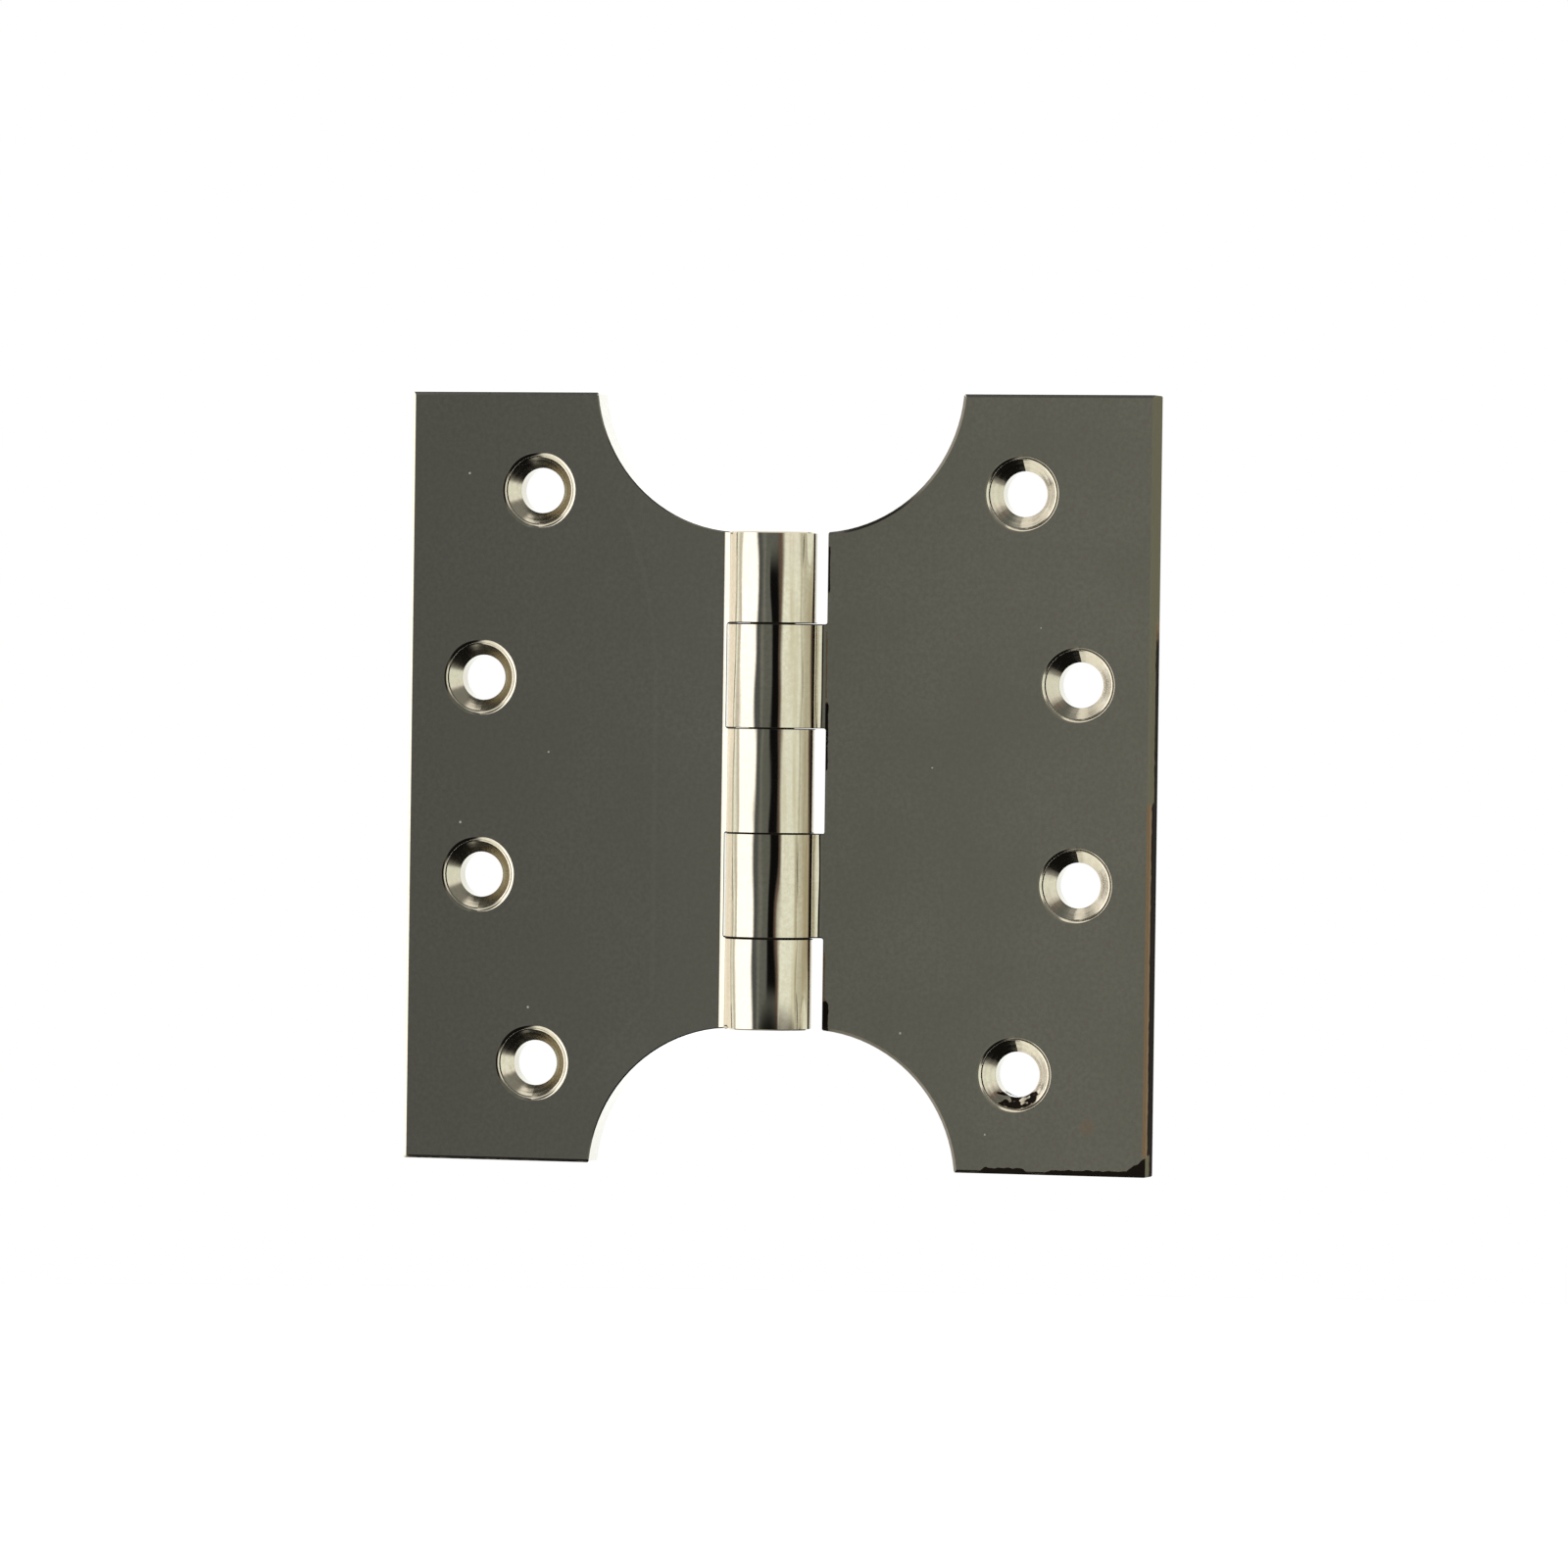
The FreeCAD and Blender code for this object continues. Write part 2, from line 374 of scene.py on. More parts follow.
    def group(self, tree, **inputs):
        node = self.put("ShaderNodeGroup", node_tree=tree)
        for name, value in inputs.items():
            self.feed(node.inputs[name.replace("_", " ")], value)
        return node.outputs


def opaque(colour):
    return (*colour[:3], 1.0)


def heading(bearing, elevation):
    """The direction of a bearing and elevation in degrees, bearing 0 being -Y and 90 being +X."""
    a = math.radians(bearing)
    e = math.radians(elevation)
    return (math.sin(a) * math.cos(e), -math.cos(a) * math.cos(e), math.sin(e))


def new_group(name, inputs, outputs):
    tree = bpy.data.node_groups.new(name, "ShaderNodeTree")
    for label, kind in inputs:
        tree.interface.new_socket(label, in_out="INPUT", socket_type=kind)
    for label, kind in outputs:
        tree.interface.new_socket(label, in_out="OUTPUT", socket_type=kind)
    bench = Bench(tree)
    return tree, bench, bench.put("NodeGroupInput").outputs, bench.put("NodeGroupOutput").inputs


def buffing_group():
    """Lines left by the buffing wheel, a fine mottle, and the cloudy haze of handling."""
    tree, bench, given, out = new_group(
        "Buffing",
        (
            ("Place", VECTOR),
            ("Lines per mm", NUMBER),
            ("Cloud Size", NUMBER),
            ("Polish", NUMBER),
            ("Spread", NUMBER),
        ),
        (("Roughness", NUMBER), ("Height", NUMBER), ("Cloud", NUMBER), ("Mottle", NUMBER)),
    )
    across = bench.vector("MULTIPLY", given["Place"], (1.0, 1.0, 0.03))
    line = bench.noise(across, given["Lines per mm"], 3.0, 0.6)
    cloud = bench.noise(given["Place"], bench.value("DIVIDE", 1.0, given["Cloud Size"]), 4.0, 0.55)
    haze = bench.ramp_up(cloud, 0.32, 0.70)
    grains_per_mm = bench.value("MULTIPLY", given["Lines per mm"], 0.8)
    mottle = bench.noise(given["Place"], grains_per_mm, 3.0, 0.65)
    uneven = bench.value("MULTIPLY_ADD", line, 0.5, haze)
    roughness = bench.value("MULTIPLY_ADD", uneven, given["Spread"], given["Polish"])
    bench.feed(out["Roughness"], roughness)
    bench.feed(out["Height"], line)
    bench.feed(out["Cloud"], haze)
    bench.feed(out["Mottle"], bench.ramp_up(mottle, 0.25, 0.75))
    return tree


def specks_group():
    """Grains of dust and pinholes, one at most in each cell."""
    tree, bench, given, out = new_group(
        "Specks",
        (("Place", VECTOR), ("Cell Size", NUMBER), ("Share", NUMBER), ("Speck Size", NUMBER)),
        (("Mask", NUMBER),),
    )
    cells = bench.put("ShaderNodeTexVoronoi", feature="F1", voronoi_dimensions="3D")
    bench.feed(cells.inputs["Vector"], given["Place"])
    bench.feed(cells.inputs["Scale"], bench.value("DIVIDE", 1.0, given["Cell Size"]))
    draw = bench.split(cells.outputs["Color"])
    chosen = bench.value("LESS_THAN", draw[0], given["Share"])
    apart = bench.value("MULTIPLY", cells.outputs["Distance"], given["Cell Size"])
    reach = bench.value("MULTIPLY", given["Speck Size"], bench.value("ADD", 0.35, draw[1]))
    near = bench.ramp_down(apart, bench.value("MULTIPLY", reach, 0.5), reach)
    bench.feed(out["Mask"], bench.value("MULTIPLY", chosen, near))
    return tree


def oxide_and_shadow_group():
    """Oxide that starts as brown film and ends as black crust, inside a given reach. The painted
    shadow along the door leaf's foot is drawn here too, as crust.
    """
    tree, bench, given, out = new_group(
        "Tarnish_and_shadow",
        (
            ("Place", VECTOR),
            ("Reach", NUMBER),
            ("Crust", NUMBER),
            ("Patch Size", NUMBER),
            ("Film Colour", COLOUR),
            ("Crust Colour", COLOUR),
        ),
        (("Mask", NUMBER), ("Color", COLOUR)),
    )
    patch = bench.noise(given["Place"], bench.value("DIVIDE", 1.0, given["Patch Size"]), 4.0, 0.6)
    edge = bench.value("ADD", given["Reach"], bench.value("MULTIPLY_ADD", patch, 0.7, -0.35))
    started = bench.ramp_up(given["Reach"], 0.02, 0.15)
    depth = bench.value("ADD", given["Crust"], bench.value("MULTIPLY_ADD", patch, 0.6, -0.3))
    thick = bench.ramp_up(depth, 0.3, 0.7)
    bench.feed(out["Mask"], bench.value("MULTIPLY", bench.ramp_up(edge, 0.35, 0.60), started))
    bench.feed(out["Color"], bench.blend(thick, given["Film Colour"], given["Crust Colour"]))
    return tree


def turning_group():
    """Distance from the nearest screw hole's axis, and the rings that the cutter leaves there."""
    tree, bench, given, out = new_group(
        "Turning",
        (
            ("Place", VECTOR),
            ("End Hole", VECTOR),
            ("Middle Hole", VECTOR),
            ("Rings per mm", NUMBER),
        ),
        (("Radius", NUMBER), ("Rings", NUMBER)),
    )
    folded = bench.vector("MULTIPLY", bench.vector("ABSOLUTE", given["Place"]), (1.0, 0.0, 1.0))
    to_end = bench.vector("DISTANCE", folded, given["End Hole"])
    to_middle = bench.vector("DISTANCE", folded, given["Middle Hole"])
    radius = bench.value("MINIMUM", to_end, to_middle)
    at_end = bench.value("LESS_THAN", to_end, to_middle)
    along = bench.value("MULTIPLY_ADD", at_end, OTHER_HOLE_RINGS, radius)
    bench.feed(out["Radius"], radius)
    bench.feed(out["Rings"], bench.noise_line(along, given["Rings per mm"], 3.0))
    return tree


class LeafFinish(bpy.types.PropertyGroup):
    nickel: FloatVectorProperty(
        name="Nickel", description="Colour of the plating",
        subtype="COLOR", size=3, default=(0.68, 0.63, 0.55), min=0.0, max=1.0,
    )
    haze: FloatVectorProperty(
        name="Haze", description="Colour of the plating where it has been handled",
        subtype="COLOR", size=3, default=(0.60, 0.56, 0.48), min=0.0, max=1.0,
    )
    mottle: FloatVectorProperty(
        name="Mottle", description="Colour of the plating's fine grain",
        subtype="COLOR", size=3, default=(0.55, 0.50, 0.43), min=0.0, max=1.0,
    )
    wheel_line: FloatVectorProperty(
        name="Wheel line", description="Colour where the frame leaf's buffing changes direction",
        subtype="COLOR", size=3, default=(0.80, 0.76, 0.68), min=0.0, max=1.0,
    )
    # Painted reflection: a brown tint streaked along the knuckles' sides that face +X, for the warm
    # glow they show there
    painted_streak: FloatVectorProperty(
        name="Streak", description="Colour of the worn streaks along the knuckles",
        subtype="COLOR", size=3, default=(0.46, 0.38, 0.26), min=0.0, max=1.0,
    )
    # Painted shade: a dark colour on the knuckles' limbs at their roots, standing in for the shade
    # there
    root: FloatVectorProperty(
        name="Root", description="Colour along the knuckles' roots, where the wheel doesn't reach",
        subtype="COLOR", size=3, default=(0.22, 0.18, 0.12), min=0.0, max=1.0,
    )
    # Painted shade: near black on the front edges, in place of the dark reflection they show
    edge: FloatVectorProperty(
        name="Edge", description="Colour of the dulled front edges",
        subtype="COLOR", size=3, default=(0.05, 0.043, 0.036), min=0.0, max=1.0,
    )
    bare_side: FloatVectorProperty(
        name="Bare side", description="Colour of the door leaf's unpolished free side",
        subtype="COLOR", size=3, default=(0.145, 0.138, 0.095), min=0.0, max=1.0,
    )
    bevel: FloatVectorProperty(
        name="Bevel", description="Colour of the bevel along the door leaf's free side",
        subtype="COLOR", size=3, default=(0.185, 0.178, 0.130), min=0.0, max=1.0,
    )
    bore: FloatVectorProperty(
        name="Bore", description="Colour inside the screw holes",
        subtype="COLOR", size=3, default=(0.50, 0.45, 0.36), min=0.0, max=1.0,
    )
    oil: FloatVectorProperty(
        name="Joint oil", description="Colour of old oil in the knuckle joints",
        subtype="COLOR", size=3, default=(0.03, 0.025, 0.02), min=0.0, max=1.0,
    )
    film: FloatVectorProperty(
        name="Oxide film", description="Colour of thin brown oxide",
        subtype="COLOR", size=3, default=(0.24, 0.165, 0.10), min=0.0, max=1.0,
    )
    # Painted shadow: this crust colour also draws the shadow along the door leaf's foot
    crust: FloatVectorProperty(
        name="Oxide crust", description="Colour of thick black oxide",
        subtype="COLOR", size=3, default=(0.012, 0.008, 0.006), min=0.0, max=1.0,
    )
    rust: FloatVectorProperty(
        name="Rust", description="Colour of the faint rust spot over the door leaf's foot",
        subtype="COLOR", size=3, default=(0.84, 0.50, 0.32), min=0.0, max=1.0,
    )
    dust: FloatVectorProperty(
        name="Dust", description="Colour of the dust grains",
        subtype="COLOR", size=3, default=(0.55, 0.53, 0.45), min=0.0, max=1.0,
    )
    polish: FloatProperty(
        name="Polish", description="Roughness of the buffed faces",
        subtype="FACTOR", default=0.06, min=0.0, max=1.0,
    )
    turned: FloatProperty(
        name="Turned roughness", description="Roughness left in the countersinks by the cutter",
        subtype="FACTOR", default=0.14, min=0.0, max=1.0,
    )
    end_hole: FloatVectorProperty(
        name="End hole",
        description="End hole's distance out from the pin and up from the middle, in mm",
        size=2, default=(33.2, 38.0),
    )
    middle_hole: FloatVectorProperty(
        name="Middle hole",
        description="Middle hole's distance out from the pin and up from the middle, in mm",
        size=2, default=(41.1, 13.1),
    )


class PinFinish(bpy.types.PropertyGroup):
    steel: FloatVectorProperty(
        name="Steel", description="Colour of the ground pin",
        subtype="COLOR", size=3, default=(0.50, 0.48, 0.44), min=0.0, max=1.0,
    )
    oil: FloatVectorProperty(
        name="Old oil", description="Colour of the oil along the pin",
        subtype="COLOR", size=3, default=(0.05, 0.038, 0.028), min=0.0, max=1.0,
    )
    grind: FloatProperty(
        name="Grind", description="Roughness of the ground steel",
        subtype="FACTOR", default=0.24, min=0.0, max=1.0,
    )


class StudioStage(bpy.types.PropertyGroup):
    bearing: FloatProperty(
        name="Camera bearing", description="Camera's angle round the pin from the front",
        subtype="ANGLE", default=math.radians(16.55),
    )
    elevation: FloatProperty(
        name="Camera elevation", description="Camera's angle above the level",
        subtype="ANGLE", default=math.radians(0.6),
    )
    roll: FloatProperty(
        name="Camera roll", description="Camera's turn about its own line of sight",
        subtype="ANGLE", default=math.radians(0.77),
    )
    distance: FloatProperty(
        name="Camera distance", description="From the pin to the camera",
        subtype="DISTANCE", unit="LENGTH", default=1.3, min=0.3,
    )
    view_width: FloatProperty(
        name="View width", description="Width of the picture at the pin",
        subtype="DISTANCE", unit="LENGTH", default=0.2063, min=0.05,
    )
    aside: FloatProperty(
        name="Camera aside", description="Camera's step to its right of the pin",
        subtype="DISTANCE", unit="LENGTH", default=0.00170, precision=5,
    )
    lowered: FloatProperty(
        name="Camera lowered", description="Camera's step below the pin's middle",
        subtype="DISTANCE", unit="LENGTH", default=0.00044, precision=5,
    )
    floor_drop: FloatProperty(
        name="Floor drop", description="Depth of the floor below the pin's middle",
        subtype="DISTANCE", unit="LENGTH", default=0.16,
    )
    floor_radius: FloatProperty(
        name="Floor radius", description="Radius of the round floor",
        subtype="DISTANCE", unit="LENGTH", default=1.5,
    )
    floor_colour: FloatVectorProperty(
        name="Floor colour", description="Colour of the pale floor",
        subtype="COLOR", size=3, default=(0.80, 0.80, 0.79), min=0.0, max=1.0,
    )
    floor_lift: FloatProperty(
        name="Floor lift", description="Brightness added to the floor where the camera sees it",
        default=0.45, min=0.0,
    )
    lamp_power: FloatProperty(
        name="Lamp power", description="Power of the soft lamp overhead",
        unit="POWER", default=3.0, min=0.0,
    )
    lamp_height: FloatProperty(
        name="Lamp height", description="Height of the lamp above the pin's middle",
        subtype="DISTANCE", unit="LENGTH", default=0.9,
    )
    lamp_size: FloatProperty(
        name="Lamp size", description="Side of the square lamp",
        subtype="DISTANCE", unit="LENGTH", default=0.7,
    )


def shared(name, make):
    """The node group of that name, made the first time it is asked for."""
    return bpy.data.node_groups.get(name) or make()


def new_material(name):
    material = bpy.data.materials.new(name)
    material.use_nodes = True
    tree = material.node_tree
    tree.nodes.clear()
    bench = Bench(tree)
    shader = bench.put("ShaderNodeBsdfPrincipled")
    output = bench.put("ShaderNodeOutputMaterial")
    tree.links.new(shader.outputs[0], output.inputs["Surface"])
    return material, bench, shader


def set_relief(bench, shader, height):
    """Gives a shader the normals of a height in mm."""
    bump = bench.put("ShaderNodeBump")
    bump.inputs["Strength"].default_value = 1.0
    bump.inputs["Distance"].default_value = 1.0 / MM_PER_METRE
    bench.feed(bump.inputs["Height"], height)
    bench.feed(shader.inputs["Normal"], bump.outputs[0])


class LeafMap:
    """Where each point of a leaf is, which way it faces, and the masks that its finish shares."""

    def __init__(self, bench, finish, is_door):
        coordinates = bench.put("ShaderNodeTexCoord").outputs
        self.bench = bench
        self.finish = finish
        self.is_door = is_door
        self.place = bench.scaled(coordinates["Object"], MM_PER_METRE)
        self.x, self.y, self.z = bench.split(self.place)
        self.out = bench.value("ABSOLUTE", self.x)
        self.off_middle = bench.value("ABSOLUTE", self.z)
        self.facing = bench.split(coordinates["Normal"])
        self.forward = bench.value("MULTIPLY", self.facing[1], -1.0)
        self.front = bench.ramp_up(self.forward, *FACES_FORWARD)
        self.on_row = bench.ramp_down(self.out, *ROW_EDGE)
        self.buffing = bench.group(
            shared("Buffing", buffing_group),
            Place=self.place, Polish=finish.polish, **LEAF_BUFFING,
        )
        turning = bench.group(
            shared("Turning", turning_group),
            Place=self.place,
            End_Hole=(finish.end_hole[0], 0.0, finish.end_hole[1]),
            Middle_Hole=(finish.middle_hole[0], 0.0, finish.middle_hole[1]),
            Rings_per_mm=SINK_RINGS_PER_MM,
        )
        self.radius = turning["Radius"]
        self.rings = turning["Rings"]
        self.in_sink = bench.ramp_down(self.radius, *SINK_EDGE)
        self.in_bore = bench.ramp_down(self.radius, *BORE_EDGE)


def frame_buffing_line(leaf):
    """Where the frame leaf's buffing changes direction, a pale line that bends by the scallops."""
    bench = leaf.bench
    upper = bench.excess(leaf.z, LINE_CURVES_ABOVE)
    lower = bench.excess(LINE_SLOPES_BELOW, leaf.z)
    bend = bench.value("MULTIPLY_ADD", bench.product(upper, upper), LINE_CURVE, LINE_X)
    line_x = bench.value("MULTIPLY_ADD", lower, LINE_SLOPE, bend)
    off = bench.value("SUBTRACT", leaf.x, line_x)
    line = bench.ramp_down(bench.value("ABSOLUTE", off), *LINE_HALF_WIDTH)
    inside = bench.ramp_up(off, *LINE_INSIDE)
    pale = bench.mix(LINE_INSIDE_SHARE, line, inside)
    return bench.product(pale, bench.band(leaf.z, *LINE_ENDS), leaf.front)


def plating(leaf):
    """The plating's colour with its haze, mottle and wheel line, brown streaks painted as
    reflection on the knuckles' sides that face +X, and painted shade at the knuckles' roots.
    """
    bench, finish = leaf.bench, leaf.finish
    colour = bench.blend(leaf.buffing["Cloud"], tuple(finish.nickel), tuple(finish.haze))
    mottle = bench.value("MULTIPLY", leaf.buffing["Mottle"], MOTTLE_AMOUNT)
    colour = bench.blend(mottle, colour, tuple(finish.mottle))
    if not leaf.is_door:
        line = bench.value("MULTIPLY", frame_buffing_line(leaf), LINE_AMOUNT)
        colour = bench.blend(line, colour, tuple(finish.wheel_line))

    # Painted reflection: brown streaks on the knuckles' sides that face +X, tinting what they
    # reflect
    stretched = bench.vector("MULTIPLY", leaf.place, STREAK_STRETCH)
    painted_streak = bench.product(
        bench.ramp_up(bench.noise(stretched, STREAKS_PER_MM), *STREAK_LEVEL),
        leaf.on_row,
        bench.ramp_up(leaf.facing[0], *STREAK_FACES),
        STREAK_AMOUNT,
    )
    colour = bench.blend(painted_streak, colour, tuple(finish.painted_streak))

    # Painted shade on the knuckles' limbs at their roots, on either side
    left_root_shade = bench.ramp_up(bench.value("MULTIPLY", leaf.facing[0], -1.0), *LEFT_ROOT_SHADE_FACES)
    right_root_shade = bench.product(
        bench.ramp_up(leaf.facing[0], *RIGHT_ROOT_SHADE_FACES),
        bench.ramp_up(leaf.facing[1], *RIGHT_ROOT_SHADE_FACES_BACK),
    )
    root = bench.product(bench.most(left_root_shade, right_root_shade), leaf.on_row, ROOT_SHADE_AMOUNT)
    return bench.blend(root, colour, tuple(finish.root))


def painted_edge_shade(leaf):
    """Painted shade on the front edges round the scallops and along the foot, near black in place
    of the dark reflection they show.
    """
    bench = leaf.bench
    on_top = bench.product(
        bench.ramp_up(leaf.z, *EDGE_TOP), bench.ramp_up(leaf.facing[2], *EDGE_TOP_FACES),
    )
    edge = bench.product(
        bench.band(leaf.forward, *EDGE_FACES),
        bench.ramp_up(leaf.out, *EDGE_CLEAR_OF_ROW),
        bench.ramp_up(leaf.radius, *EDGE_CLEAR_OF_RIM),
        bench.inverse(on_top),
        EDGE_SHADE_AMOUNT,
    )
    if not leaf.is_door:
        edge = bench.product(edge, bench.ramp_up(leaf.x, *EDGE_CLEAR_OF_FREE_SIDE))
    return edge


def in_joint(leaf):
    """The knuckles' end faces, inside the row."""
    bench = leaf.bench
    return bench.product(
        bench.ramp_up(bench.value("ABSOLUTE", leaf.facing[2]), *FACES_UP_OR_DOWN),
        bench.ramp_down(leaf.out, *JOINT_REACH),
        bench.ramp_down(leaf.off_middle, *JOINT_HEIGHT),
    )


def foot_shadow(leaf, wander):
    """Painted shadow along the door leaf's foot, up to a drawn line, drawn as oxide crust."""
    bench = leaf.bench
    along = bench.ramp_up(leaf.x, *FOOT_SPAN, "LINEAR")
    top = bench.value("MULTIPLY_ADD", bench.profile(along, FOOT_LINE), FOOT_TALLEST, wander)
    over_top = bench.value("SUBTRACT", bench.value("ADD", leaf.z, DOOR_FOOT), top)
    return bench.product(bench.ramp_down(over_top, *FOOT_BORDER), leaf.front)


def side_oxide(leaf, side, wander):
    """Film and crust on the lower half of the door leaf's free side, and crust along its back."""
    bench = leaf.bench
    uneven_y = bench.value("MULTIPLY_ADD", wander, SIDE_WANDER_Y, leaf.y)
    uneven_z = bench.value("MULTIPLY_ADD", wander, SIDE_WANDER_Z, leaf.z)
    lower = bench.product(side, bench.band(uneven_z, *SIDE_FILM))
    back = bench.product(
        side,
        bench.ramp_up(uneven_y, *SIDE_BACK_FROM),
        bench.ramp_down(uneven_z, *SIDE_BACK_TOP),
    )
    lower_crust = bench.product(lower, bench.ramp_up(uneven_y, *SIDE_CRUST_FROM))
    back_crust = bench.value("MULTIPLY", back, SIDE_BACK_CRUST)
    return bench.most(lower, back), bench.most(lower_crust, back_crust)


def notch_oxide(leaf, wander):
    """Film along the door leaf's notch edge, crusted but for the stretch beside knuckle 2."""
    bench = leaf.bench
    low = bench.ramp_down(leaf.z, *NOTCH_LOW)
    beside_second = bench.band(leaf.z, *NOTCH_SECOND)
    reach = bench.value("MULTIPLY_ADD", wander, NOTCH_WANDER, NOTCH_REACH)
    reach = bench.value("MULTIPLY_ADD", low, NOTCH_LOW_WIDENING, reach)
    reach = bench.value("MULTIPLY_ADD", beside_second, NOTCH_SECOND_NARROWING, reach)
    film = bench.product(
        bench.ramp_down(bench.value("SUBTRACT", leaf.x, reach), *NOTCH_BORDER),
        bench.ramp_up(leaf.x, *NOTCH_EDGE),
        leaf.front,
        bench.most(
            bench.value("MULTIPLY", beside_second, NOTCH_SECOND_AMOUNT),
            *[bench.band(leaf.z, *stretch) for stretch in NOTCH_FILM],
        ),
    )
    upper = bench.product(bench.ramp_up(leaf.z, *NOTCH_UPPER), bench.inverse(beside_second))
    return film, bench.product(film, bench.most(low, upper))


def sink_blotch(leaf, wander):
    """Crust low down in the door leaf's lowest countersink."""
    bench = leaf.bench
    top = bench.value("MULTIPLY_ADD", wander, BLOTCH_WANDER, BLOTCH_TOP)
    return bench.product(
        leaf.in_sink,
        bench.ramp_down(bench.value("SUBTRACT", leaf.z, top), *BLOTCH_BORDER),
        bench.ramp_up(leaf.x, *BLOTCH_LEFT),
        bench.ramp_down(leaf.x, *BLOTCH_RIGHT),
        bench.band(leaf.z, *BLOTCH_HEIGHT),
        bench.ramp_up(bench.noise(leaf.place, BLOTCHES_PER_MM, 1.0), *BLOTCH_LEVEL),
    )


def door_oxide_and_shadow(leaf, side):
    """Where the door leaf is oxidised, and how thickly, with the painted shadow along its foot
    drawn as crust.
    """
    bench = leaf.bench
    patches = bench.noise(leaf.place, WANDERS_PER_MM, 3.0)
    wander = bench.value("MULTIPLY_ADD", patches, WANDER, -WANDER / 2.0)
    # Painted shadow along the door leaf's foot, fed in as full crust
    foot = foot_shadow(leaf, wander)
    side_reach, side_crust = side_oxide(leaf, side, wander)
    notch_reach, notch_crust = notch_oxide(leaf, wander)
    blotch = sink_blotch(leaf, wander)
    reach = bench.most(foot, side_reach, notch_reach, blotch)
    crust = bench.most(foot, side_crust, notch_crust, blotch)
    return reach, crust


def frame_oxide(leaf):
    """A little oxide along the frame leaf's foot."""
    bench = leaf.bench
    reach = bench.product(bench.ramp_down(leaf.z, *FRAME_FOOT), leaf.front, FRAME_FOOT_AMOUNT)
    return reach, reach


def knuckle_relief(leaf):
    """The buffing wheel's waves along the knuckles, and the row's dubbed ends."""
    bench = leaf.bench
    shift = (0.0, DOOR_WAVE_SHIFT if leaf.is_door else 0.0, 0.0)
    stretched = bench.vector("MULTIPLY_ADD", leaf.place, WAVE_STRETCH, shift)
    wave = bench.value("SUBTRACT", bench.noise(stretched, WAVES_PER_MM, 1.0), 0.5)
    past = bench.excess(leaf.off_middle, DUBBED_FROM)
    waved = bench.value("MULTIPLY", wave, WAVE_DEPTH)
    height = bench.value("MULTIPLY_ADD", bench.product(past, past), DUBBING, waved)
    return bench.product(height, leaf.on_row, bench.ramp_up(leaf.forward, *WAVED_FACES))


def sink_relief(leaf):
    """The cutter's rings, the rolled rims, and the door leaf's countersinks flattened a little."""
    bench = leaf.bench
    sharpness, fullness = DOOR_RIM_ROLL if leaf.is_door else FRAME_RIM_ROLL
    middle = (SINK_RADIUS + RIM_RADIUS) / 2.0
    half_width = (RIM_RADIUS - SINK_RADIUS) / 2.0
    rise = fullness * half_width * math.sin(RIM_TILT) / math.cos(RIM_TILT) ** 2 / sharpness
    across = bench.value("DIVIDE", bench.value("SUBTRACT", leaf.radius, middle), half_width)
    off = bench.value("ABSOLUTE", across)
    roll = bench.inverse(bench.value("POWER", off, sharpness))
    on_rim = bench.product(
        bench.band(leaf.forward, *RIM_FACES), bench.ramp_down(off, *RIM_REACH),
    )
    height = bench.product(roll, rise, on_rim)
    ring = bench.product(leaf.rings, leaf.in_sink)
    height = bench.value("MULTIPLY_ADD", ring, SINK_RING_DEPTH, height)
    if leaf.is_door:
        inward = bench.value("SUBTRACT", SINK_RADIUS, leaf.radius)
        in_cone = bench.product(
            bench.band(leaf.forward, *DOOR_CONE_FACES), bench.ramp_up(inward, *DOOR_CONE_MOUTH),
        )
        height = bench.value("MULTIPLY_ADD", bench.product(inward, in_cone), DOOR_CONE_EASE, height)
    return height


def leaf_relief(leaf):
    """All of a leaf's relief in mm."""
    bench = leaf.bench
    height = bench.value("ADD", knuckle_relief(leaf), sink_relief(leaf))
    if not leaf.is_door:
        sweep = bench.excess(leaf.x, SWEEP_FROM)
        root = bench.product(sweep, sweep, leaf.front, bench.ramp_down(leaf.x, *SWEEP_END))
        height = bench.value("MULTIPLY_ADD", root, SWEEP, height)
    return bench.value("MULTIPLY_ADD", leaf.buffing["Height"], WHEEL_LINE_DEPTH, height)


